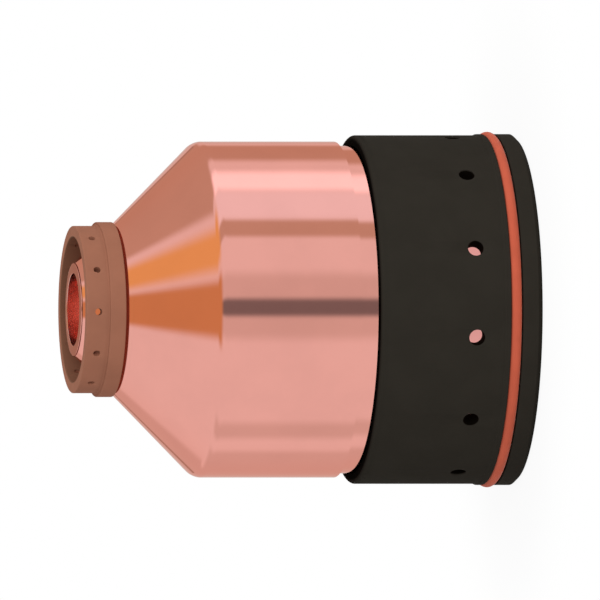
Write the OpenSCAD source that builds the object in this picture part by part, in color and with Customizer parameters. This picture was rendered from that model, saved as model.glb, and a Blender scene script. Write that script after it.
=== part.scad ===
// Plasma torch retaining cap.
// A turned copper shell carries a drilled insulator ring on its nose and an insulating
// sleeve with a seal ring round its rear. Inside, the shell has a thread, a seal bore,
// a coolant cavity, a cone and a register for the nozzle.
// The cap stands on the open rear rim of the sleeve, nose up. The origin is the centre
// of that rim's face and +Z runs along the axis towards the nose.

/* [Shell outside] */
// Diameter of the polished barrel
barrel_d = 48.2; // [42:0.1:56]
// Length of the barrel, from its rear step to the start of the cone
barrel_len = 20.25; // [12:0.05:30]
// Angle between the cone's surface and the axis
cone_angle = 45; // [38:1:52]
// Radius of the rounded edge between the barrel and the cone
barrel_round = 2; // [0.5:0.1:4]
// Radial step from the barrel down to the land behind it
land_step = 0.6; // [0.3:0.05:1.5]
// Length of the land, from the sleeve's lip to the barrel
land_len = 2.6; // [1.2:0.1:5]
// Radial step from the land down to the seat that carries the sleeve
seat_step = 0.4; // [0.2:0.05:1]
// Length of the sleeve's seat
seat_len = 8.55; // [5:0.05:11]
// Radial step from the seat down to the skirt
skirt_step = 1.8; // [1.5:0.05:2.4]
// Distance of the skirt's end inside the sleeve's rear rim
skirt_inset = 1; // [0.2:0.1:3]
// Width of the flat nose face round its bore
nose_rim = 1.6; // [0.8:0.1:2.6]
// Length of the short straight land behind the nose face
nose_land = 0.4; // [0.05:0.05:0.6]

/* [Shell inside] */
// Thickness of the skirt's wall at the root of the thread that holds the torch body
skirt_wall = 1.5; // [1.1:0.05:2.2]
// Length of the threaded bore
thread_len = 11; // [7:0.5:16]
// Depth of the relief groove behind the thread
relief_depth = 0.3; // [0.1:0.05:0.6]
// Width of the relief groove
relief_w = 2; // [1:0.1:3]
// Radial step of the taper that leads from the thread's root into the seal bore
seal_step = 1.2; // [0.9:0.05:1.8]
// Length of the smooth bore that takes the torch body's seal
seal_len = 5; // [3:0.1:8]
// Thickness of the wall between the coolant cavity and the sleeve's seat
cavity_wall = 2.6; // [1.8:0.1:3.6]
// Thickness of the cone's wall, square to its surface
cone_wall = 3.2; // [2.4:0.1:4]
// Radial step from the nose bore out to the register that centres the nozzle
register_step = 2.3; // [1.2:0.1:3]
// Thickness of the nose in front of the register
nose_web = 3.5; // [2:0.1:4.4]
// Diameter of the bore through the nose
nose_bore_d = 10.4; // [8:0.1:12]

/* [Swirl ring] */
// Inside diameter at the ring's mouth
ring_bore_d = 20.8; // [18:0.1:26]
// Thickness of the ring's wall at its mouth
ring_wall = 1.6; // [1.2:0.05:3]
// Radial step from the ring's mouth out to its seat on the cone
ring_seat_step = 0.6; // [0.3:0.05:1]
// Length of the ring's seat on the cone
ring_seat_len = 1; // [0.6:0.1:1.6]
// Length of the ring's front part
ring_nose_len = 3.35; // [2.6:0.05:5]
// Height of the ring's rear flange above its front part
ring_flange_rise = 0.55; // [0.3:0.05:2]
// Length of the ring's rear flange
ring_flange_len = 2.3; // [1.8:0.1:4]
// Number of metering holes through the ring's wall
ring_hole_count = 12; // [6:1:16]
// Diameter of a metering hole
ring_hole_d = 1; // [0.5:0.1:1.4]
// Distance of the metering holes from the ring's front face
ring_hole_setback = 1.7; // [1:0.1:2.1]
// Turn of the row of metering holes about the axis
ring_hole_turn = -1.6; // [-15:0.1:15]

/* [Rear sleeve] */
// Thickness of the sleeve's wall at its seat
sleeve_wall = 1.87; // [1.5:0.01:4]
// Length of the sleeve
sleeve_len = 23.55; // [21:0.05:30]
// Rounding of the lip at the sleeve's front
lip_round = 0.5; // [0.2:0.1:1]
// Height of the rim and of the groove's front land above the sleeve's body
rim_rise = 0.17; // [0.05:0.01:0.5]
// Length of the rear rim, up to the seal groove
rim_len = 2.93; // [1.6:0.01:4]
// Chamfer round the rear rim
rim_chamfer = 0.65; // [0.2:0.05:1]
// Length of the land in front of the seal groove
groove_land_len = 0.95; // [0.6:0.05:1.6]
// Radial width of the gas channel between the skirt and the sleeve
gas_gap = 1; // [0.6:0.05:1.3]
// Number of vent holes through the sleeve's wall
vent_count = 12; // [6:1:16]
// Diameter of a vent hole
vent_d = 2.3; // [1.2:0.1:3]
// Distance of the vent holes from the sleeve's rear face
vent_z = 9.55; // [8.4:0.05:11]
// Turn of the row of vent holes about the axis
vent_turn = -9.3; // [-15:0.1:15]

/* [Seal ring] */
// Thickness of the seal ring's round section
seal_section = 1.5; // [1.2:0.1:1.8]
// Height of the seal ring above the rim
seal_stand = 0.33; // [0.15:0.01:0.5]
// Play between the seal ring and the rear wall of its groove
seal_play_rear = 0.15; // [0.05:0.01:0.4]
// Play between the seal ring and the front wall of its groove
seal_play_front = 0.05; // [0.02:0.01:0.3]

/* [Fits and edges] */
// Clearance of the bonded seats of the ring and the sleeve
bond_gap = 0.03; // [0.01:0.01:0.08]
// Clearance under the seal ring
seal_gap = 0.01; // [0.005:0.005:0.03]
// Size of the small broken edges
edge_break = 0.15; // [0.05:0.01:0.25]
// Size of the chamfers at the mouths of the bores
mouth_chamfer = 0.6; // [0.2:0.05:0.8]

/* [Hidden] */
$fn = 180;
drill_fn = 36;
round_steps = 8;
cut_past = 1;
lead_slope = 30;

// Radii of the shell, each a step or a wall away from the one it is turned beside
barrel_r = barrel_d / 2;
land_r = barrel_r - land_step;
seat_r = land_r - seat_step;
skirt_r = seat_r - skirt_step;
thread_r = skirt_r - skirt_wall;
seal_bore_r = thread_r - seal_step;
cavity_r = seat_r - cavity_wall;
nose_bore_r = nose_bore_d / 2;
nose_r = nose_bore_r + nose_rim;
register_r = nose_bore_r + register_step;

// Heights of the shell's outside, from the rear rim to the nose
seat_z = sleeve_len - seat_len;
shoulder_z = sleeve_len + bond_gap;
barrel_z = sleeve_len + land_len;
cone_start_z = barrel_z + barrel_len;
nose_z = cone_z(nose_r) + nose_land;

// Heights of the shell's bore, from the skirt's end inwards
thread_end_z = skirt_inset + thread_len;
relief_end_z = thread_end_z + relief_w;
seal_bore_z = relief_end_z + seal_step / tan(lead_slope);
seal_end_z = seal_bore_z + seal_len;
cavity_z = seal_end_z + cavity_r - seal_bore_r;
register_end_z = nose_z - nose_web;

// Swirl ring and its seat, which is turned on the cone
ring_bore_r = ring_bore_d / 2;
ring_nose_r = ring_bore_r + ring_wall;
ring_flange_r = ring_nose_r + ring_flange_rise;
ring_seat_r = ring_bore_r + ring_seat_step;
ring_seat_z = cone_z(ring_seat_r);
ring_z = ring_seat_z - ring_seat_len;
ring_step_z = ring_z + ring_flange_len;
ring_front_z = ring_step_z + ring_nose_len;

// Sleeve and its seal groove
sleeve_seat_r = seat_r + bond_gap;
sleeve_r = sleeve_seat_r + sleeve_wall;
channel_r = skirt_r + gas_gap;
rim_r = sleeve_r + rim_rise;
groove_r = rim_r + seal_stand - seal_section;
groove_end_z = rim_len + seal_play_rear + seal_section + seal_play_front;
seal_z = groove_end_z - seal_play_front - seal_section / 2;
seal_ring_r = groove_r + seal_gap + seal_section / 2;

// Height on the outer cone at a radius r
function cone_z(r) = cone_start_z + (barrel_r - r) / tan(cone_angle);

// Radius of the outer cone at a height z
function cone_r(z) = barrel_r - (z - cone_start_z) * tan(cone_angle);

// Height on the inner cone at a radius r: the same cone, one wall further in
function inner_cone_z(r) = cone_z(r + cone_wall / cos(cone_angle));

// Points of an arc about a centre, from one angle to another
function arc_points(centre, r, from, to) = [
    for (i = [0:round_steps])
        let (a = from + (to - from) * i / round_steps)
        centre + r * [cos(a), sin(a)]
];

// Rounded edge between the barrel and the cone, tangent to both
function barrel_edge() = arc_points(
    [barrel_r - barrel_round, cone_start_z - barrel_round * tan(cone_angle / 2)],
    barrel_round, 0, cone_angle
);

// Rounded lip at the sleeve's front
function lip_edge() = arc_points(
    [sleeve_r - lip_round, sleeve_len - lip_round], lip_round, 0, 90
);

// Outline of the shell's outside, from the skirt's end to the nose
function shell_outside() = concat(
    [
        [skirt_r - edge_break, skirt_inset],
        [skirt_r, skirt_inset + edge_break],
        [skirt_r, seat_z],
        [seat_r, seat_z],
        [seat_r, shoulder_z],
        [land_r, shoulder_z],
        [land_r, barrel_z],
        [barrel_r - edge_break, barrel_z],
        [barrel_r, barrel_z + edge_break]
    ],
    barrel_edge(),
    [
        [cone_r(ring_z), ring_z],
        [ring_seat_r, ring_z],
        [ring_seat_r, ring_seat_z],
        [nose_r, nose_z - nose_land],
        [nose_r, nose_z]
    ]
);

// Outline of the shell's bore, from the nose back to the skirt's end
function shell_inside() = [
    [nose_bore_r, nose_z],
    [nose_bore_r, register_end_z],
    [register_r, register_end_z],
    [register_r, inner_cone_z(register_r)],
    [cavity_r, inner_cone_z(cavity_r)],
    [cavity_r, cavity_z],
    [seal_bore_r, seal_end_z],
    [seal_bore_r, seal_bore_z],
    [thread_r, relief_end_z],
    [thread_r + relief_depth, relief_end_z],
    [thread_r + relief_depth, thread_end_z],
    [thread_r, thread_end_z],
    [thread_r, skirt_inset + mouth_chamfer],
    [thread_r + mouth_chamfer, skirt_inset]
];

// Outline of the swirl ring, from its seat out to the flange, forward and back inside
function ring_outline() =
    let (seat = ring_seat_r + bond_gap, seat_lift = bond_gap / sin(cone_angle))
    [
        [seat, ring_z],
        [ring_flange_r - edge_break, ring_z],
        [ring_flange_r, ring_z + edge_break],
        [ring_flange_r, ring_step_z - edge_break],
        [ring_flange_r - edge_break, ring_step_z],
        [ring_nose_r, ring_step_z],
        [ring_nose_r, ring_front_z - edge_break],
        [ring_nose_r - edge_break, ring_front_z],
        [ring_bore_r + edge_break, ring_front_z],
        [ring_bore_r, ring_front_z - edge_break],
        [ring_bore_r, cone_z(ring_bore_r) + seat_lift],
        [seat, cone_z(seat) + seat_lift]
    ];

// Outline of the sleeve, from its rear mouth over the rim and the groove to the lip,
// and back through the seat and the gas channel
function sleeve_outline() = concat(
    [
        [channel_r + mouth_chamfer, 0],
        [rim_r - rim_chamfer, 0],
        [rim_r, rim_chamfer],
        [rim_r, rim_len],
        [groove_r, rim_len],
        [groove_r, groove_end_z],
        [rim_r, groove_end_z],
        [rim_r, groove_end_z + groove_land_len - rim_rise],
        [sleeve_r, groove_end_z + groove_land_len]
    ],
    lip_edge(),
    [
        [sleeve_seat_r, sleeve_len],
        [sleeve_seat_r, seat_z],
        [channel_r, seat_z],
        [channel_r, mouth_chamfer]
    ]
);

// Ring turned from an outline, with its seam clear of a row of holes drilled through it
module turned_ring(outline, count, turn) {
    rotate([0, 0, turn + 90 / count])
        rotate_extrude()
            polygon(outline);
}

// Drills for a row of round holes through a ring's wall, square to the axis
module radial_drills(count, d, z, inner_r, outer_r, turn) {
    for (i = [0:count - 1])
        rotate([0, 0, turn + i * 360 / count])
            translate([inner_r - cut_past, 0, z])
                rotate([0, 90, 0])
                    cylinder(d = d, h = outer_r - inner_r + 2 * cut_past, $fn = drill_fn);
}

// Copper shell, turned from one bar: skirt, seats, barrel, cone and nose
module copper_shell() {
    color("#c98263")
        rotate_extrude()
            polygon(concat(shell_outside(), shell_inside()));
}

// Insulator ring on the nose, with its row of metering holes
module swirl_ring() {
    hole_z = ring_front_z - ring_hole_setback;
    color("#98674f")
        difference() {
            turned_ring(ring_outline(), ring_hole_count, ring_hole_turn);
            radial_drills(
                ring_hole_count, ring_hole_d, hole_z, ring_bore_r, ring_nose_r, ring_hole_turn
            );
        }
}

// Insulating sleeve with its seal groove, gas channel and row of vent holes
module rear_sleeve() {
    color("#302d27")
        difference() {
            turned_ring(sleeve_outline(), vent_count, vent_turn);
            radial_drills(vent_count, vent_d, vent_z, channel_r, sleeve_r, vent_turn);
        }
}

// Seal ring of round section, stretched over the groove's floor
module o_ring() {
    color("#c65c44")
        rotate_extrude()
            translate([seal_ring_r, seal_z])
                circle(d = seal_section, $fn = drill_fn);
}

copper_shell();
swirl_ring();
rear_sleeve();
o_ring();
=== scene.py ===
"""Looks of a plasma torch retaining cap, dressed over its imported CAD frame.

The cap stands on its open rear rim with the nose up, and +Z runs along the axis. A polished
copper shell carries a brown insulator ring on its nose and a black insulating sleeve with an
orange seal ring round its rear. All four are turned here from rounded outlines, and the shell
gets the ridge of its internal thread, which the CAD leaves to this script.
"""

import logging
import math
from collections.abc import Sequence
from dataclasses import dataclass, field
from enum import Enum

import bmesh
import bpy
from mathutils import Matrix, Vector


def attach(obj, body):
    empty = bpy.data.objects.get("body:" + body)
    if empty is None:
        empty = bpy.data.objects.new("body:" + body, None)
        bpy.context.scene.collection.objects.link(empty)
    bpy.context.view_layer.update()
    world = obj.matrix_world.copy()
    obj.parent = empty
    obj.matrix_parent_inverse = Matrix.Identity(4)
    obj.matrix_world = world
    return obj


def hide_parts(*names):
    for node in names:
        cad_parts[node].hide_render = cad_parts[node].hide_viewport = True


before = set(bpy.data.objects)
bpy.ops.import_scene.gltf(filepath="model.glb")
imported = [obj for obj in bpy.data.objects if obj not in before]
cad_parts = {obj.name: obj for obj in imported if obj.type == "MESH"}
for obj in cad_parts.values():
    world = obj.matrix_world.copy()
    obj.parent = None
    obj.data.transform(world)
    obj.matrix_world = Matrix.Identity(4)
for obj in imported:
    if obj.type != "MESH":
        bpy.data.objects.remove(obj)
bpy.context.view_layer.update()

LOG = logging.getLogger("retaining_cap")
MM = 0.001
WELD = 0.0001 * MM
BODY = "root"
Colour = tuple[float, float, float]
Point = tuple[float, float, float]
EDGE_TINT: Colour = (0.98, 0.72, 0.66)
WHITE: Colour = (1.0, 1.0, 1.0)


class Node(str, Enum):
    """The CAD nodes that the pieces stand for."""

    SHELL = "copper_shell"
    RING = "swirl_ring"
    SLEEVE = "rear_sleeve"
    SEAL = "o_ring"


class Slot(str, Enum):
    """The record's material slots."""

    COPPER = "copper"
    BROWN = "brown_insulator"
    BLACK = "black_insulator"
    RUBBER = "seal_rubber"


# Shader graphs


class Signal:
    """A socket of a graph that takes part in Python expressions."""

    def __init__(self, graph: "Graph", socket: bpy.types.NodeSocket) -> None:
        """Wraps an output socket of the graph."""
        self.graph = graph
        self.socket = socket

    def __add__(self, other: "Operand") -> "Signal":
        """Sum of two values."""
        return self.graph.math("ADD", self, other)

    def __radd__(self, other: "Operand") -> "Signal":
        """Sum with the number first."""
        return self.graph.math("ADD", other, self)

    def __sub__(self, other: "Operand") -> "Signal":
        """Difference of two values."""
        return self.graph.math("SUBTRACT", self, other)

    def __rsub__(self, other: "Operand") -> "Signal":
        """Difference with the number first."""
        return self.graph.math("SUBTRACT", other, self)

    def __mul__(self, other: "Operand") -> "Signal":
        """Product of two values."""
        return self.graph.math("MULTIPLY", self, other)

    def __rmul__(self, other: "Operand") -> "Signal":
        """Product with the number first."""
        return self.graph.math("MULTIPLY", other, self)

    def __truediv__(self, other: "Operand") -> "Signal":
        """Quotient of two values."""
        return self.graph.math("DIVIDE", self, other)


Operand = Signal | float


class Graph:
    """The node tree of one material or world, which is built by calls."""

    def __init__(self, tree: bpy.types.NodeTree) -> None:
        """Empties the tree and keeps it."""
        self.tree = tree
        tree.nodes.clear()

    def add(
        self, kind: str, settings: dict[str, object] | None = None,
        inputs: dict[str | int, object] | None = None,
    ) -> bpy.types.Node:
        """Adds a node.

        Args:
            kind: the node's type.
            settings: its properties, set first.
            inputs: a value or a link for each of its sockets, by name or number.

        Returns:
            The new node.
        """
        node = self.tree.nodes.new(kind)
        for name, value in (settings or {}).items():
            setattr(node, name, value)
        for key, value in (inputs or {}).items():
            self.feed(node.inputs[key], value)
        return node

    def feed(self, socket: bpy.types.NodeSocket, value: object) -> None:
        """Links a signal to a socket, or sets the socket to a plain value."""
        if isinstance(value, Signal):
            self.tree.links.new(value.socket, socket)
        elif isinstance(value, bpy.types.NodeSocket):
            self.tree.links.new(value, socket)
        elif isinstance(value, tuple) and len(value) == 3 and socket.type == "RGBA":
            socket.default_value = (*value, 1.0)
        else:
            socket.default_value = value

    def signal(self, node: bpy.types.Node, output: str | int = 0) -> Signal:
        """An output of a node, as a signal."""
        return Signal(self, node.outputs[output])

    def math(self, operation: str, first: Operand, second: Operand = 0.0) -> Signal:
        """The result of a Math node on one or two values."""
        inputs = {0: first, 1: second}
        return self.signal(self.add("ShaderNodeMath", {"operation": operation}, inputs))

    def clamp(self, value: Operand) -> Signal:
        """A value held between 0 and 1."""
        return self.signal(self.add("ShaderNodeClamp", {}, {"Value": value}))

    def span(
        self, value: Operand, start: float, end: float, low: float = 0.0, high: float = 1.0,
    ) -> Signal:
        """A smooth step of a value, from low at the start to high at the end.

        Args:
            value: what the step follows.
            start: where the step starts.
            end: where the step ends, which is above the start.
            low: the result at the start.
            high: the result at the end.

        Returns:
            The step.
        """
        settings = {"interpolation_type": "SMOOTHSTEP"}
        inputs = {"Value": value, "From Min": start, "From Max": end, "To Min": low, "To Max": high}
        return self.signal(self.add("ShaderNodeMapRange", settings, inputs))

    def mix(self, factor: Operand, first: object, second: object) -> Signal:
        """Two colours mixed by a factor.

        Args:
            factor: 0 gives the first colour and 1 the second.
            first: a colour or a signal.
            second: a colour or a signal.

        Returns:
            The mixed colour.
        """
        node = self.add(
            "ShaderNodeMix", {"data_type": "RGBA", "blend_type": "MIX", "clamp_factor": True},
            {0: factor, 6: first, 7: second},
        )
        return self.signal(node, 2)

    def vector(self, x: Operand, y: Operand, z: Operand) -> Signal:
        """Three values as one vector."""
        return self.signal(self.add("ShaderNodeCombineXYZ", {}, {0: x, 1: y, 2: z}))

    def noise(
        self, vector: Signal, scale: float, detail: float = 2.0, rough: float = 0.5,
    ) -> Signal:
        """Soft noise at a point, between 0 and 1.

        Args:
            vector: the point, in millimetres.
            scale: how many swells there are to a millimetre.
            detail: how many finer layers lie on the swells.
            rough: how strong the finer layers are.

        Returns:
            The noise.
        """
        settings = {"noise_dimensions": "3D", "normalize": True}
        inputs = {"Vector": vector, "Scale": scale, "Detail": detail, "Roughness": rough}
        return self.signal(self.add("ShaderNodeTexNoise", settings, inputs), "Fac")


@dataclass(frozen=True)
class TurnedPlace:
    """Where a point lies on a turned piece, in millimetres and radians."""

    point: Signal
    z: Signal
    radius: Signal
    angle: Signal

    @classmethod
    def of(cls, graph: Graph) -> "TurnedPlace":
        """Reads the piece's own coordinates.

        Args:
            graph: the graph of the piece's material.

        Returns:
            The place, with the radius and the angle about the piece's axis.
        """
        source = graph.add("ShaderNodeTexCoord")
        scaled = graph.add(
            "ShaderNodeVectorMath", {"operation": "SCALE"},
            {0: source.outputs["Object"], "Scale": 1.0 / MM},
        )
        point = graph.signal(scaled)
        parts = graph.add("ShaderNodeSeparateXYZ", {}, {0: point})
        x, y, z = (graph.signal(parts, i) for i in range(3))
        radius = graph.math("SQRT", x * x + y * y)
        return cls(point, z, radius, graph.math("ARCTAN2", y, x))

    def tool_lines(self, graph: Graph, per_mm: float, wander: float = 0.15) -> Signal:
        """Fine rings left by a lathe tool: noise that runs round the axis.

        Args:
            graph: the graph of the piece's material.
            per_mm: how many lines there are to a millimetre of profile.
            wander: how much the lines change on their way round.

        Returns:
            The lines, between 0 and 1.
        """
        turn = self.angle * wander
        along = graph.vector(self.radius, turn, self.z)
        return graph.noise(along, per_mm, detail=3.0, rough=0.6)


# Finishes


@dataclass(frozen=True)
class Finish:
    """What all finishes share: a name, a colour and how rough the surface is."""

    name: str
    colour: Colour
    rough: float

    def make(self) -> bpy.types.Material:
        """Makes the material, whose nodes come from the kind of finish."""
        material = bpy.data.materials.new(self.name)
        material.use_nodes = True
        graph = Graph(material.node_tree)
        shader = graph.add("ShaderNodeBsdfPrincipled")
        self.dress(graph, shader, TurnedPlace.of(graph))
        graph.add("ShaderNodeOutputMaterial", {}, {"Surface": shader.outputs[0]})
        return material

    def dress(self, graph: Graph, shader: bpy.types.Node, place: TurnedPlace) -> None:
        """Feeds the shader's sockets; each kind of finish has its own."""
        raise NotImplementedError

    def scaled(self, factor: float) -> Colour:
        """The finish's colour, darker or paler by a factor."""
        return tuple(part * factor for part in self.colour)

    @staticmethod
    def bump(graph: Graph, height: Operand, depth_mm: float) -> Signal:
        """The normal of a surface with a height between 0 and 1.

        Args:
            graph: the graph of the material.
            height: the height, where 1 is the highest.
            depth_mm: how deep the relief is, in millimetres.

        Returns:
            The normal.
        """
        inputs = {"Height": height, "Distance": depth_mm * MM, "Strength": 1.0}
        return graph.signal(graph.add("ShaderNodeBump", {}, inputs))


@dataclass(frozen=True)
class PolishedCopper(Finish):
    """Copper polished on the lathe: hairline rings and a faint bloom of handling."""

    hairline: float = 0.0004
    hairs_per_mm: float = 9.0
    bands_per_mm: float = 1.3
    uneven: float = 0.02
    bloom: float = 0.02
    bloom_scale: float = 0.11

    def dress(self, graph: Graph, shader: bpy.types.Node, place: TurnedPlace) -> None:
        """Feeds colour, roughness and normal."""
        hairs = place.tool_lines(graph, self.hairs_per_mm)
        bands = place.tool_lines(graph, self.bands_per_mm, wander=0.5)
        cloud = graph.noise(place.point, self.bloom_scale, detail=3.0, rough=0.55)
        haze = graph.span(cloud, start=0.35, end=0.75)
        darker = self.scaled(1.0 - 2.0 * self.bloom)
        graph.feed(shader.inputs["Base Color"], graph.mix(haze, self.colour, darker))
        lines = (bands - 0.5) * self.uneven
        rough = self.rough + lines + haze * (self.bloom / 2.0) + (hairs - 0.5) * self.uneven
        graph.feed(shader.inputs["Roughness"], graph.clamp(rough))
        graph.feed(shader.inputs["Metallic"], 1.0)
        graph.feed(shader.inputs["Specular Tint"], (*EDGE_TINT, 1.0))
        graph.feed(shader.inputs["Normal"], self.bump(graph, hairs, self.hairline))


@dataclass(frozen=True)
class TurnedCopper(Finish):
    """Copper straight from the tool, as in the bore: plain feed lines and a satin gloss."""

    feed_line: float = 0.0008
    lines_per_mm: float = 5.0
    uneven: float = 0.1
    stain: float = 0.06
    stain_scale: float = 0.16

    def dress(self, graph: Graph, shader: bpy.types.Node, place: TurnedPlace) -> None:
        """Feeds colour, roughness and normal."""
        lines = place.tool_lines(graph, self.lines_per_mm, wander=0.05)
        cloud = graph.noise(place.point, self.stain_scale, detail=4.0, rough=0.6)
        stain = graph.span(cloud, start=0.35, end=0.7)
        darker = self.scaled(1.0 - self.stain)
        graph.feed(shader.inputs["Base Color"], graph.mix(stain, self.colour, darker))
        rough = self.rough + (lines - 0.5) * self.uneven
        graph.feed(shader.inputs["Roughness"], graph.clamp(rough))
        graph.feed(shader.inputs["Metallic"], 1.0)
        graph.feed(shader.inputs["Specular Tint"], (*EDGE_TINT, 1.0))
        graph.feed(shader.inputs["Normal"], self.bump(graph, lines, self.feed_line))


@dataclass(frozen=True)
class Shade:
    """Painted shade: a zone darkened inwards from start to end, two radii in millimetres.

    It lies between the two heights above and below, and fades over the onset past each of them.
    """

    start: float
    end: float
    deep: Colour
    above: float = 0.0
    below: float = 70.0
    onset: float = 0.3


@dataclass(frozen=True)
class Resin(Finish):
    """Filled resin, moulded and skimmed: fine grain, faint flow clouds and zones of painted shade.
    """

    gloss: float
    grain_depth: float
    shades: tuple[Shade, ...]
    speckle: float = 0.04
    grains_per_mm: float = 7.0
    grain_uneven: float = 0.2
    grain_share: float = 0.6
    flow_scale: float = 0.22
    skims_per_mm: float = 4.0
    skim_uneven: float = 0.08

    def dress(self, graph: Graph, shader: bpy.types.Node, place: TurnedPlace) -> None:
        """Feeds colour, roughness and normal."""
        grain = graph.noise(place.point, self.grains_per_mm, detail=3.0, rough=0.6)
        flow = graph.noise(place.point, self.flow_scale, detail=3.0)
        skim = place.tool_lines(graph, self.skims_per_mm, wander=0.2)
        darker = self.scaled(1.0 - self.speckle)
        paler = self.scaled(1.0 + self.speckle)
        clouds = graph.mix(graph.span(flow, start=0.3, end=0.7), darker, paler)
        specks = graph.span(grain, start=0.62, end=0.74, high=0.35)
        skin = graph.mix(specks, clouds, paler)
        # Each shade paints shade into the base colour, darker inwards between its two heights.
        for shade in self.shades:
            inward = graph.span(place.radius, shade.end, shade.start, low=1.0, high=0.0)
            high = graph.span(place.z, shade.above - shade.onset, shade.above)
            low = graph.span(place.z, shade.below, shade.below + shade.onset, low=1.0, high=0.0)
            skin = graph.mix(inward * high * low, skin, shade.deep)
        graph.feed(shader.inputs["Base Color"], skin)
        rough = self.rough + (grain - 0.5) * self.grain_uneven + (skim - 0.5) * self.skim_uneven
        graph.feed(shader.inputs["Roughness"], graph.clamp(rough))
        graph.feed(shader.inputs["Specular IOR Level"], self.gloss)
        relief = grain * self.grain_share + skim * (1.0 - self.grain_share)
        graph.feed(shader.inputs["Normal"], self.bump(graph, relief, self.grain_depth))


@dataclass(frozen=True)
class Silicone(Finish):
    """Moulded seal rubber: smooth, with a soft sheen and a little dust in its pores."""

    gloss: float
    pores_per_mm: float = 9.0
    pore_depth: float = 0.006
    uneven: float = 0.15
    dust: float = 0.08
    dust_scale: float = 0.3

    def dress(self, graph: Graph, shader: bpy.types.Node, place: TurnedPlace) -> None:
        """Feeds colour, roughness and normal."""
        pores = graph.noise(place.point, self.pores_per_mm)
        dusty = graph.span(graph.noise(place.point, self.dust_scale), start=0.3, end=0.7)
        darker = self.scaled(1.0 - self.dust)
        graph.feed(shader.inputs["Base Color"], graph.mix(dusty, self.colour, darker))
        rough = self.rough + (pores - 0.5) * self.uneven
        graph.feed(shader.inputs["Roughness"], graph.clamp(rough))
        graph.feed(shader.inputs["Specular IOR Level"], self.gloss)
        graph.feed(shader.inputs["Normal"], self.bump(graph, pores, self.pore_depth))


# Turning


def as_object(work: bmesh.types.BMesh, name: str) -> bpy.types.Object:
    """Makes an object from a working mesh, which is freed."""
    data = bpy.data.meshes.new(name)
    work.to_mesh(data)
    work.free()
    made = bpy.data.objects.new(name, data)
    bpy.context.scene.collection.objects.link(made)
    return made


@dataclass(frozen=True)
class Corner:
    """A corner of a turned outline: radius, height and rounding, in millimetres."""

    radius: float
    height: float
    rounding: float = 0.0
    segments: int = 3


@dataclass(frozen=True)
class Drill:
    """A row of round holes through a ring's wall, square to the axis, in millimetres.

    The drill runs between two radii that lie past the wall, and the row is turned by an angle.
    """

    count: int
    diameter: float
    height: float
    inner: float
    outer: float
    turn_deg: float
    edge: float
    facets: int = 40


class Lathe:
    """Turns rounded outlines into meshes, as the real pieces are turned."""

    def __init__(self, steps: int = 256, guard: float = 0.06) -> None:
        """Keeps the steps of a turn, and how far from a corner a flat's own shading starts."""
        self.steps = steps
        self.guard = guard * MM

    def turn(
        self, mesh: bmesh.types.BMesh, corners: Sequence[Corner], closed: bool, finish: int = 0,
    ) -> None:
        """Turns one outline into faces of a mesh.

        Args:
            mesh: the mesh that takes the faces.
            corners: the outline's corners, in order.
            closed: True if the last corner joins the first.
            finish: the material index of the new faces.
        """
        before = set(mesh.faces)
        points = [mesh.verts.new((c.radius * MM, 0.0, c.height * MM)) for c in corners]
        ends = points[1:] + points[:1] if closed else points[1:]
        for start, end in zip(points, ends):
            mesh.edges.new((start, end))
        for point, corner in zip(points, corners):
            self._round(mesh, point, corner)
        self._guard(mesh)
        wire = [edge for edge in mesh.edges if edge.is_wire]
        ring = list({vert for edge in wire for vert in edge.verts})
        bmesh.ops.spin(
            mesh, geom=ring + wire, cent=(0, 0, 0), axis=(0, 0, 1), dvec=(0, 0, 0),
            angle=2.0 * math.pi, steps=self.steps, use_merge=True, use_duplicate=False,
        )
        for face in set(mesh.faces) - before:
            face.material_index = finish

    def _round(self, mesh: bmesh.types.BMesh, point: bmesh.types.BMVert, corner: Corner) -> None:
        """Rounds one corner of a wire outline to its radius."""
        if corner.rounding <= 0.0:
            return
        first, second = (edge.other_vert(point).co - point.co for edge in point.link_edges)
        bend = math.pi - first.angle(second)
        bmesh.ops.bevel(
            mesh, geom=[point], offset=corner.rounding * MM * math.tan(bend / 2.0),
            offset_type="OFFSET", segments=corner.segments, profile=0.5, affect="VERTICES",
            material=-1,
        )

    def _guard(self, mesh: bmesh.types.BMesh) -> None:
        """Splits each long edge of the wire near its ends, so that the flat shades as a flat."""
        for edge in [edge for edge in mesh.edges if edge.is_wire]:
            length = edge.calc_length()
            if length > 4.0 * self.guard:
                _, near = bmesh.utils.edge_split(edge, edge.verts[0], self.guard / length)
                rest = max(near.link_edges, key=lambda part: part.calc_length())
                far = rest.other_vert(near)
                bmesh.utils.edge_split(rest, far, self.guard / rest.calc_length())


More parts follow.
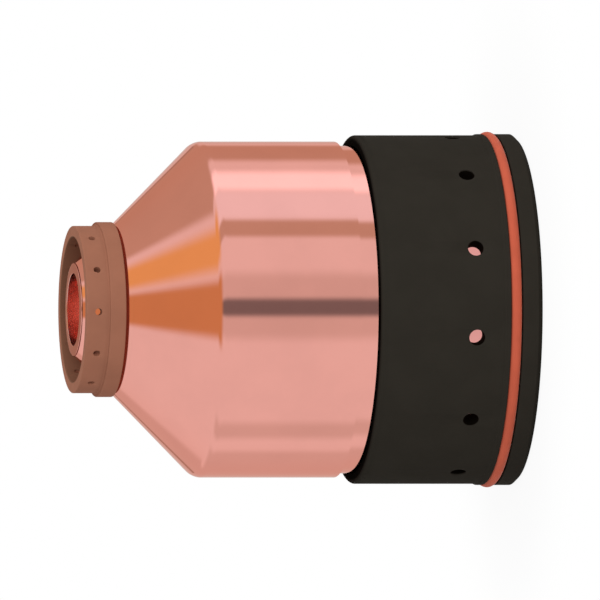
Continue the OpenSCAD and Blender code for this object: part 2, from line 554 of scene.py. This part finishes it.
@dataclass
class Piece:
    """What every piece of the cap shares: its name, slot, finishes and node.

    A piece that isn't mirrored doesn't show in the copper. The sleeve isn't, so that the copper
    behind its vents mirrors the studio and shows in them.
    """

    name: str
    slot: Slot
    finishes: tuple[Finish, ...]
    node: Node | None = None
    mirrored: bool = True
    crease_deg: float = 32.0
    lathe: Lathe = field(default_factory=Lathe)

    def shape(self, mesh: bmesh.types.BMesh) -> None:
        """Fills the mesh; each piece has its own."""
        raise NotImplementedError

    def drills(self) -> Drill | None:
        """The row of holes that the piece has, if any."""
        return None

    def build(self) -> bpy.types.Object:
        """Builds, drills, dresses and mounts the piece.

        Returns:
            The finished object.
        """
        work = bmesh.new()
        self.shape(work)
        bmesh.ops.remove_doubles(work, verts=work.verts, dist=WELD)
        bmesh.ops.recalc_face_normals(work, faces=work.faces)
        made = as_object(work, self.name)
        row = self.drills()
        if row is not None:
            self._drill(made, row)
        for finish in self.finishes:
            made.data.materials.append(finish.make())
        made.data.shade_smooth()
        made.data.set_sharp_from_angle(angle=math.radians(self.crease_deg))
        made.visible_glossy = self.mirrored
        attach(made, BODY)
        if self.node is not None:
            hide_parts(self.node.value)
        LOG.info("%s: %d faces", self.name, len(made.data.polygons))
        return made

    def _drill(self, made: bpy.types.Object, row: Drill) -> None:
        """Cuts a row of holes through the piece and breaks their edges."""
        work = bmesh.new()
        length = (row.outer - row.inner) * MM
        for i in range(row.count):
            hole = bmesh.ops.create_cone(
                work, cap_ends=True, segments=row.facets, radius1=row.diameter / 2.0 * MM,
                radius2=row.diameter / 2.0 * MM, depth=length,
            )
            turn = math.radians(row.turn_deg + i * 360.0 / row.count)
            place = (
                Matrix.Rotation(turn, 4, "Z")
                @ Matrix.Translation(((row.inner + row.outer) / 2.0 * MM, 0.0, row.height * MM))
                @ Matrix.Rotation(math.pi / 2.0, 4, "Y")
            )
            bmesh.ops.transform(work, matrix=place, verts=hole["verts"])
        bmesh.ops.recalc_face_normals(work, faces=work.faces)
        cutter = as_object(work, self.name + "_drills")
        cut = made.modifiers.new("holes", "BOOLEAN")
        cut.operation = "DIFFERENCE"
        cut.solver = "EXACT"
        cut.object = cutter
        ready = made.evaluated_get(bpy.context.evaluated_depsgraph_get())
        drilled = bpy.data.meshes.new_from_object(ready)
        made.modifiers.clear()
        whole, made.data = made.data, drilled
        bpy.data.meshes.remove(whole)
        bpy.data.objects.remove(cutter)
        self._break_edges(made, row)

    @staticmethod
    def _break_edges(made: bpy.types.Object, row: Drill) -> None:
        """Rounds the rims of a row of holes."""
        work = bmesh.new()
        work.from_mesh(made.data)
        pitch = 2.0 * math.pi / row.count
        least_bend = math.radians(50.0)
        slack = 0.004 * MM
        rims = []
        for edge in work.edges:
            if len(edge.link_faces) != 2 or edge.calc_face_angle(0.0) < least_bend:
                continue
            on_hole = True
            for vert in edge.verts:
                angle = math.atan2(vert.co.y, vert.co.x) - math.radians(row.turn_deg)
                off = (angle + pitch / 2.0) % pitch - pitch / 2.0
                side = math.hypot(vert.co.x, vert.co.y) * math.sin(off)
                reach = math.hypot(side, vert.co.z - row.height * MM)
                on_hole = on_hole and abs(reach - row.diameter / 2.0 * MM) < slack
            if on_hole:
                rims.append(edge)
        if row.edge > 0.0 and rims:
            bmesh.ops.bevel(
                work, geom=rims, offset=row.edge * MM, offset_type="OFFSET", segments=2,
                profile=0.5, affect="EDGES", material=-1, clamp_overlap=True,
            )
        LOG.info("%s: %d rim edges", made.name, len(rims))
        work.to_mesh(made.data)
        work.free()


# Pieces


@dataclass
class CopperShell(Piece):
    """The cap proper, turned from one bar: skirt, seats, barrel, cone, nose and stepped bore."""

    barrel: float = 24.1
    land: float = 23.5
    seat: float = 23.1
    skirt: float = 21.3
    ring_seat: float = 11.0
    nose: float = 6.65
    bore: float = 5.2
    register: float = 7.5
    cavity: float = 20.5
    seal_bore: float = 18.6
    thread: float = 19.8
    relief: float = 20.1
    skirt_end: float = 1.0
    mouth_chamfer: float = 0.6
    relief_rear: float = 12.0
    relief_front: float = 14.0
    seal_rear: float = 16.078
    seal_front: float = 21.078
    cavity_rear: float = 22.978
    register_end: float = 60.6
    collar_ease: float = 0.025
    seat_rear: float = 15.0
    lip: float = 23.55
    lip_gap: float = 0.03
    barrel_rear: float = 26.15
    cone_start: float = 46.4
    shoulder: float = 58.5
    face: float = 64.1
    crown: float = 0.05
    mouth_edge: float = 0.04

    def cone_height(self, radius: float) -> float:
        """Height on the 45 degree cone at a radius, or its radius at a height."""
        return self.cone_start + self.barrel - radius

    def rear(self) -> list[Corner]:
        """The outline of the skirt, from its end up to the sleeve's seat."""
        return [
            Corner(self.thread + self.mouth_chamfer, self.skirt_end),
            Corner(self.skirt, self.skirt_end, 0.15),
            Corner(self.skirt, self.seat_rear),
        ]

    def outside(self) -> list[Corner]:
        """The outline from the sleeve's seat forward to the edge of the nose bore."""
        land_rear = self.lip + self.lip_gap
        return [
            Corner(self.skirt, self.seat_rear),
            Corner(self.seat, self.seat_rear, 0.1),
            Corner(self.seat, land_rear),
            Corner(self.land, land_rear),
            Corner(self.land, self.barrel_rear),
            Corner(self.barrel, self.barrel_rear),
            Corner(self.barrel, self.cone_start, 2.0, 12),
            Corner(self.cone_height(self.shoulder), self.shoulder),
            Corner(self.ring_seat, self.shoulder),
            Corner(self.ring_seat, self.cone_height(self.ring_seat)),
            Corner(self.nose, self.cone_height(self.nose), 0.02),
            Corner(self.nose, self.face - self.crown, 0.04),
            Corner(self.bore + self.mouth_edge, self.face),
        ]

    def inside(self) -> list[Corner]:
        """The outline of the bore, from the nose back to the skirt's end."""
        inner = self.shoulder + self.register - self.collar_ease
        return [
            Corner(self.bore + self.mouth_edge, self.face),
            Corner(self.bore, self.face - self.mouth_edge, 0.03),
            Corner(self.bore, self.register_end, 0.1),
            Corner(self.register, self.register_end),
            Corner(self.register, inner - self.register, 0.15),
            Corner(self.cavity, inner - self.cavity, 0.4, 4),
            Corner(self.cavity, self.cavity_rear, 0.2),
            Corner(self.seal_bore, self.seal_front, 0.3),
            Corner(self.seal_bore, self.seal_rear, 0.3),
            Corner(self.thread, self.relief_front, 0.05),
            Corner(self.relief, self.relief_front),
            Corner(self.relief, self.relief_rear),
            Corner(self.thread, self.relief_rear, 0.05),
            Corner(self.thread, self.skirt_end + self.mouth_chamfer, 0.1),
            Corner(self.thread + self.mouth_chamfer, self.skirt_end),
        ]

    def shape(self, mesh: bmesh.types.BMesh) -> None:
        """Turns the polished outside, the bore and the satin skirt, whose ends meet."""
        self.lathe.turn(mesh, self.outside(), False, 0)
        self.lathe.turn(mesh, self.inside(), False, 1)
        self.lathe.turn(mesh, self.rear(), False, 2)


@dataclass
class ThreadRidge(Piece):
    """The ridge of the internal thread that holds the torch body."""

    root: float = 19.86
    crest: float = 19.15
    pitch: float = 1.5
    foot: float = 0.55
    flat: float = 0.14
    start: float = 2.1
    turns: float = 6.25
    steps_per_turn: int = 120
    fade_deg: float = 50.0
    lead_deg: float = 33.0
    sunk: float = 0.02

    def shape(self, mesh: bmesh.types.BMesh) -> None:
        """Sweeps the ridge's section along a helix and fades its two ends into the wall."""
        corners = (
            (self.root, -self.foot), (self.crest, -self.flat),
            (self.crest, self.flat), (self.root, self.foot),
        )
        points = [mesh.verts.new((r * MM, 0.0, (self.start + z) * MM)) for r, z in corners]
        face = mesh.faces.new(points)
        steps = round(self.turns * self.steps_per_turn)
        bmesh.ops.spin(
            mesh, geom=[face, *face.edges, *face.verts], cent=(0, 0, 0), axis=(0, 0, 1),
            dvec=(0, 0, self.pitch * MM / self.steps_per_turn), angle=2.0 * math.pi * self.turns,
            steps=steps, use_merge=False, use_duplicate=False,
        )
        for vert in mesh.verts:
            self._fade(mesh, vert)

    def _fade(self, mesh: bmesh.types.BMesh, vert: bmesh.types.BMVert) -> None:
        """Draws a crest point near an end out towards the root."""
        radius = math.hypot(vert.co.x, vert.co.y)
        if radius > (self.root + self.crest) / 2.0 * MM:
            return
        run = (vert.co.z / MM - self.start) / self.pitch * 360.0
        left = min(run, self.turns * 360.0 - run) + self.lead_deg
        if left < self.fade_deg:
            reach = max(left / self.fade_deg, 0.0)
            faded = self.root - self.sunk
            target = (faded - (faded - self.crest) * reach) * MM
            outward = Vector((vert.co.x, vert.co.y, 0.0)).normalized() * (target - radius)
            bmesh.ops.translate(mesh, verts=[vert], vec=outward)


@dataclass
class SwirlRing(Piece):
    """The brown insulator ring on the nose, with its flange and its row of metering holes."""

    mouth: float = 10.4
    front: float = 12.0
    flange: float = 12.55
    seat: float = 11.03
    rear: float = 58.5
    step: float = 60.8
    face: float = 64.15
    seat_lift: float = 0.0424
    cone_sum: float = 70.5

    def shape(self, mesh: bmesh.types.BMesh) -> None:
        """Turns the ring's closed outline."""
        self.lathe.turn(mesh, [
            Corner(self.seat, self.rear, 0.05),
            Corner(self.flange, self.rear, 0.12),
            Corner(self.flange, self.step, 0.12),
            Corner(self.front, self.step, 0.25, 4),
            Corner(self.front, self.face, 0.1),
            Corner(self.mouth, self.face, 0.1),
            Corner(self.mouth, self.cone_sum - self.mouth + self.seat_lift),
            Corner(self.seat, self.cone_sum - self.seat + self.seat_lift),
        ], True)

    def drills(self) -> Drill:
        """Twelve metering holes that feed gas to the shield."""
        return Drill(
            count=12, diameter=1.0, height=62.45, inner=self.mouth - 1.0, outer=self.front + 1.0,
            turn_deg=-1.6, edge=0.04,
        )


@dataclass
class RearSleeve(Piece):
    """The black insulating sleeve, with its rim, seal groove, gas channel and row of vents."""

    body: float = 25.0
    seat: float = 23.13
    channel: float = 22.3
    rim: float = 25.17
    groove: float = 24.0
    rim_end: float = 2.93
    groove_end: float = 4.63
    land_end: float = 5.41
    land_ramp: float = 0.17
    rim_chamfer: float = 0.65
    channel_chamfer: float = 0.6
    seat_rear: float = 15.0
    lip: float = 23.55
    lip_rounding: float = 0.5

    def shape(self, mesh: bmesh.types.BMesh) -> None:
        """Turns the sleeve's closed outline."""
        self.lathe.turn(mesh, [
            Corner(self.channel + self.channel_chamfer, 0.0, 0.05),
            Corner(self.rim - self.rim_chamfer, 0.0, 0.08),
            Corner(self.rim, self.rim_chamfer, 0.08),
            Corner(self.rim, self.rim_end, 0.08),
            Corner(self.groove, self.rim_end, 0.1),
            Corner(self.groove, self.groove_end, 0.1),
            Corner(self.rim, self.groove_end, 0.08),
            Corner(self.rim, self.land_end, 0.1),
            Corner(self.body, self.land_end + self.land_ramp, 0.1),
            *self.front_corners(),
            Corner(self.seat, self.seat_rear, 0.1),
            Corner(self.channel, self.seat_rear),
            Corner(self.channel, self.channel_chamfer, 0.1),
        ], True)

    def front_corners(self) -> list[Corner]:
        """The rounded lip and the inner edge of the front face."""
        return [
            Corner(self.body, self.lip, self.lip_rounding, 8),
            Corner(self.seat, self.lip, 0.05),
        ]

    def front_end(self, depth: float = 1.0) -> list[Corner]:
        """The closed outline of the front end, down to a depth in millimetres."""
        rear = self.lip - depth
        return [Corner(self.body, rear), *self.front_corners(), Corner(self.seat, rear)]

    def drills(self) -> Drill:
        """Twelve vents that open into the gas channel."""
        return Drill(
            count=12, diameter=2.3, height=9.55, inner=self.channel - 0.6, outer=self.body + 1.0,
            turn_deg=-9.3, edge=0.08,
        )


@dataclass
class SealRing(Piece):
    """The orange seal ring of round section, stretched into the sleeve's groove."""

    section: float = 1.5
    facets: int = 32
    centre: float = 24.75
    height: float = 3.83

    def shape(self, mesh: bmesh.types.BMesh) -> None:
        """Spins a round section about the axis."""
        ring = bmesh.ops.create_circle(
            mesh, cap_ends=False, radius=self.section / 2.0 * MM, segments=self.facets,
        )["verts"]
        upright = Matrix.Rotation(math.pi / 2.0, 3, "X")
        bmesh.ops.rotate(mesh, verts=ring, cent=(0, 0, 0), matrix=upright)
        bmesh.ops.translate(mesh, verts=ring, vec=(self.centre * MM, 0.0, self.height * MM))
        bmesh.ops.spin(
            mesh, geom=mesh.verts[:] + mesh.edges[:], cent=(0, 0, 0), axis=(0, 0, 1),
            dvec=(0, 0, 0), angle=2.0 * math.pi, steps=self.lathe.steps, use_merge=True,
            use_duplicate=False,
        )


# Studio


class Tone(Enum):
    """What the studio's cards are made of, as the light that each sends out."""

    KEY = (1.25, 1.25, 1.3)
    COOL = (0.9, 0.95, 1.0)
    PALE = (0.82, 0.8, 0.78)
    STONE = (0.68, 0.64, 0.6)
    BROWN = (0.55, 0.45, 0.35)
    AMBER = (0.8, 0.55, 0.2)
    RUST = (0.6, 0.35, 0.15)
    BLACK = (0.2, 0.2, 0.2)


@dataclass(frozen=True)
class Card:
    """A card between two bearings, with soft edges, in degrees.

    Bearing 0 is behind the camera, 90 is below the picture and -90 above it.
    """

    start: float
    end: float
    tone: Tone
    soft: float = 10.0


@dataclass(frozen=True)
class Lamp:
    """A round soft lamp that points at the middle of the cap, in metres and watts."""

    name: str
    place: Point
    across: float
    power: float
    aim: Point = (0.0, 0.0, 0.032)

    def hang(self) -> None:
        """Makes the lamp, which lights the cap without a picture of itself in the copper."""
        data = bpy.data.lights.new(self.name, "AREA")
        data.shape = "DISK"
        data.size = self.across
        data.energy = self.power
        lamp = bpy.data.objects.new(self.name, data)
        lamp.location = self.place
        lamp.rotation_mode = "QUATERNION"
        towards = Vector(self.aim) - Vector(self.place)
        lamp.rotation_quaternion = towards.to_track_quat("-Z", "Y")
        lamp.visible_camera = False
        lamp.visible_glossy = False
        bpy.context.scene.collection.objects.link(lamp)


@dataclass(frozen=True)
class Studio:
    """The studio: a pale room with a few cards, soft lamps, a pale floor and a hidden flag.

    A blend says where one tone starts and ends its change into the next: by lift between the
    level and the overhead cards, and by reach from the pivot between these and the ceiling.
    """

    room: Tone = Tone.PALE
    level_cards: tuple[Card, ...] = (
        Card(-180, -165, Tone.STONE),
        Card(-150, -130, Tone.BROWN),
        Card(-105, -95, Tone.KEY),
        Card(-85, -70, Tone.COOL),
        Card(-62, -54, Tone.BROWN, 5),
        Card(-20, 15, Tone.STONE),
        Card(-5, 2, Tone.BLACK, 5),
        Card(90, 95, Tone.STONE),
        Card(120, 180, Tone.STONE),
    )
    overhead_cards: tuple[Card, ...] = (
        Card(-180, -165, Tone.STONE),
        Card(-150, -75, Tone.BROWN),
        Card(-50, -35, Tone.AMBER, 15),
        Card(-15, 15, Tone.RUST),
        Card(130, 180, Tone.STONE),
    )
    lamps: tuple[Lamp, ...] = (
        Lamp("front_softbox", (0.16, -0.64, 0.22), 0.30, 1.5),
        Lamp("upper_softbox", (0.52, 0.0, 0.46), 0.40, 1.1),
    )
    back_card: Colour = (0.365, 0.285, 0.22)
    plain: Colour = (0.68, 0.68, 0.68)
    cloth: Colour = (0.004, 0.004, 0.003)
    paint: Colour = (0.9, 0.9, 0.9)
    overhead_blend: tuple[float, float] = (0.35, 0.55)
    ceiling_blend: tuple[float, float] = (0.34, 0.54)
    back_card_side: tuple[float, float] = (0.94, 0.96)
    back_card_foot: tuple[float, float] = (0.06, 0.09)
    pivot: float = 0.4
    view_lean: float = 10.0
    floor_radius: float = 0.12
    floor_drop: float = 0.05
    floor_fade: tuple[float, float] = (28.0, 60.0)
    floor_shown: float = 0.92

    def light(self) -> None:
        """Makes the world, the lamps and the floor."""
        self._world()
        for lamp in self.lamps:
            lamp.hang()
        self._floor()

    def flag(self, sleeve: RearSleeve) -> None:
        """Sets a black flag in the sleeve's front end, which only the copper beside it mirrors.

        Args:
            sleeve: the sleeve, which the copper doesn't mirror itself.
        """
        work = bmesh.new()
        sleeve.lathe.turn(work, sleeve.front_end(), True)
        bmesh.ops.recalc_face_normals(work, faces=work.faces)
        flag = as_object(work, "lip_flag")
        material = bpy.data.materials.new("flag_cloth")
        material.use_nodes = True
        graph = Graph(material.node_tree)
        cloth = graph.add("ShaderNodeBsdfDiffuse", {}, {"Color": self.cloth})
        graph.add("ShaderNodeOutputMaterial", {}, {"Surface": cloth.outputs[0]})
        flag.data.materials.append(material)
        for kind in ("camera", "diffuse", "shadow", "transmission", "volume_scatter"):
            setattr(flag, "visible_" + kind, False)

    def _world(self) -> None:
        """White to the camera, plain to matte surfaces, cards to polished ones."""
        world = bpy.data.worlds.new("studio")
        world.use_nodes = True
        bpy.context.scene.world = world
        graph = Graph(world.node_tree)
        source = graph.add("ShaderNodeTexCoord")
        parts = graph.add("ShaderNodeSeparateXYZ", {}, {0: source.outputs["Generated"]})
        x, y, z = (graph.signal(parts, i) for i in range(3))
        level = graph.math("ARCTAN2", x * -1.0, y * -1.0)
        behind = y - self.pivot
        high = graph.math("ARCTAN2", x * -1.0, behind * -1.0)
        reach = graph.math("SQRT", x * x + behind * behind)
        lift = self._lift(graph, y, z)
        sides = self._hang_cards(graph, level, self.level_cards)
        above = self._hang_cards(graph, high, self.overhead_cards)
        upper = graph.mix(graph.span(reach, *self.ceiling_blend), self.room.value, above)
        rings = graph.mix(graph.span(lift, *self.overhead_blend), sides, upper)
        back = graph.span(y, *self.back_card_side) * graph.span(z, *self.back_card_foot)
        tone = graph.mix(back, rings, self.back_card)
        path = graph.add("ShaderNodeLightPath")
        matte = graph.signal(path, "Is Diffuse Ray")
        camera = graph.signal(path, "Is Camera Ray")
        clear = graph.math("MAXIMUM", camera, graph.signal(path, "Is Transmission Ray"))
        lit = graph.mix(matte, tone, self.plain)
        shown = graph.mix(clear, lit, WHITE)
        sky = graph.add("ShaderNodeBackground", {}, {"Color": shown, "Strength": 1.0})
        graph.add("ShaderNodeOutputWorld", {}, {"Surface": sky.outputs[0]})

    def _lift(self, graph: Graph, y: Signal, z: Signal) -> Signal:
        """How high a card stands: the tilt of a turned surface that mirrors it to the front.

        Args:
            graph: the world's graph.
            y: the card's direction along Y.
            z: the card's direction along Z.

        Returns:
            The sine of the tilt: 0 for the barrel, 0.7 for the cone.
        """
        lean = math.radians(self.view_lean)
        spread = z * math.sin(lean) - y * math.cos(lean) + 1.0
        least = 0.0001
        half = graph.math("SQRT", graph.math("MAXIMUM", spread * 2.0, least))
        return (z + math.sin(lean)) / half

    def _hang_cards(self, graph: Graph, bearing: Signal, cards: Sequence[Card]) -> Signal:
        """The tone of the room with a row of cards in it.

        Args:
            graph: the world's graph.
            bearing: where to look, in radians.
            cards: the cards, of which a later one stands in front.

        Returns:
            The tone.
        """
        degrees = bearing * math.degrees(1.0)
        tone: object = self.room.value
        for card in cards:
            rise = graph.span(degrees, card.start - card.soft, card.start)
            fall = graph.span(degrees, card.end, card.end + card.soft, low=1.0, high=0.0)
            tone = graph.mix(rise * fall, tone, card.tone.value)
        return tone

    def _floor(self) -> None:
        """A pale disc that fades into the white background, and is clear from below."""
        work = bmesh.new()
        bmesh.ops.create_circle(work, cap_ends=True, radius=self.floor_radius, segments=96)
        bmesh.ops.translate(work, verts=work.verts, vec=(0.0, 0.0, -self.floor_drop * MM))
        floor = as_object(work, "floor")
        material = bpy.data.materials.new("pale_floor")
        material.use_nodes = True
        graph = Graph(material.node_tree)
        place = TurnedPlace.of(graph)
        paint = graph.add("ShaderNodeBsdfDiffuse", {}, {"Color": self.paint})
        white = graph.add("ShaderNodeEmission", {}, {"Color": WHITE, "Strength": 1.0})
        path = graph.add("ShaderNodeLightPath")
        seen = graph.signal(path, "Is Camera Ray") + graph.signal(path, "Is Glossy Ray")
        fade = graph.span(place.radius, *self.floor_fade, self.floor_shown, 1.0)
        shown = graph.add(
            "ShaderNodeMixShader", {},
            {0: graph.clamp(seen) * fade, 1: paint.outputs[0], 2: white.outputs[0]},
        )
        clear = graph.add("ShaderNodeBsdfTransparent")
        side = graph.add("ShaderNodeNewGeometry")
        sheet = graph.add(
            "ShaderNodeMixShader", {},
            {0: side.outputs["Backfacing"], 1: shown.outputs[0], 2: clear.outputs[0]},
        )
        graph.add("ShaderNodeOutputMaterial", {}, {"Surface": sheet.outputs[0]})
        floor.data.materials.append(material)


@dataclass(frozen=True)
class Viewpoint:
    """The photograph's view: square on, rolled so that the nose points left, tilted 10 degrees."""

    tilt_deg: float = 10.0
    across: float = 0.08606
    aim_mm: Point = (1.37, 5.31, 30.10)
    distance: float = 0.4
    clip: tuple[float, float] = (0.01, 5.0)

    def place(self) -> None:
        """Makes the camera and gives it to the scene."""
        lean = math.radians(self.tilt_deg)
        right = Vector((0.0, -math.sin(lean), -math.cos(lean)))
        back = Vector((0.0, -math.cos(lean), math.sin(lean)))
        up = Vector((1.0, 0.0, 0.0))
        data = bpy.data.cameras.new("camera")
        data.type = "ORTHO"
        data.ortho_scale = self.across
        data.clip_start, data.clip_end = self.clip
        camera = bpy.data.objects.new("camera", data)
        camera.rotation_mode = "QUATERNION"
        camera.rotation_quaternion = Matrix((right, up, back)).transposed().to_quaternion()
        camera.location = Vector(self.aim_mm) * MM + back * self.distance
        bpy.context.scene.collection.objects.link(camera)
        bpy.context.scene.camera = camera


def main() -> None:
    """Builds the camera, the studio, the pieces and the flag."""
    logging.basicConfig(level=logging.INFO, format="%(name)s %(message)s")
    bpy.context.scene.view_settings.view_transform = "Standard"
    Viewpoint().place()
    studio = Studio()
    studio.light()
    # Painted shade inside the brown ring's mouth, where its bore lies in shade.
    painted_shade_mouth = Shade(10.62, 10.46, (0.178, 0.086, 0.052))
    # Painted shade on the walls of the sleeve's vents, which lie in shade.
    painted_shade_vents = Shade(24.88, 24.72, (0.004, 0.003, 0.002), above=6.0, below=22.0)
    # Painted shade on the sleeve's lip and front face beside the copper, for the shadow at the
    # join.
    painted_shade_lip = Shade(25.1, 24.1, (0.006, 0.005, 0.004), above=22.5)
    polished = PolishedCopper("polished_copper", (0.96, 0.445, 0.385), 0.07)
    turned = TurnedCopper("turned_copper", (0.98, 0.55, 0.48), 0.16)
    satin = TurnedCopper("satin_copper", (0.86, 0.39, 0.36), 0.40)
    brown = Resin(
        "brown_resin", (0.335, 0.140, 0.087), 0.7, gloss=0.02, grain_depth=0.008,
        shades=(painted_shade_mouth,),
    )
    black = Resin(
        "black_resin", (0.0275, 0.0240, 0.0190), 0.75, gloss=0.005, grain_depth=0.010,
        shades=(painted_shade_vents, painted_shade_lip),
    )
    silicone = Silicone("seal_silicone", (0.56, 0.108, 0.058), 0.6, gloss=0.08)
    sleeve = RearSleeve("Rear_sleeve", Slot.BLACK, (black,), Node.SLEEVE, mirrored=False)
    pieces: tuple[Piece, ...] = (
        CopperShell("Copper_shell", Slot.COPPER, (polished, turned, satin), Node.SHELL),
        ThreadRidge("Thread_ridge", Slot.COPPER, (turned,)),
        SwirlRing("Swirl_ring", Slot.BROWN, (brown,), Node.RING),
        sleeve,
        SealRing("Seal_ring", Slot.RUBBER, (silicone,), Node.SEAL),
    )
    for piece in pieces:
        piece.build()
    studio.flag(sleeve)


if __name__ == "__main__":
    main()
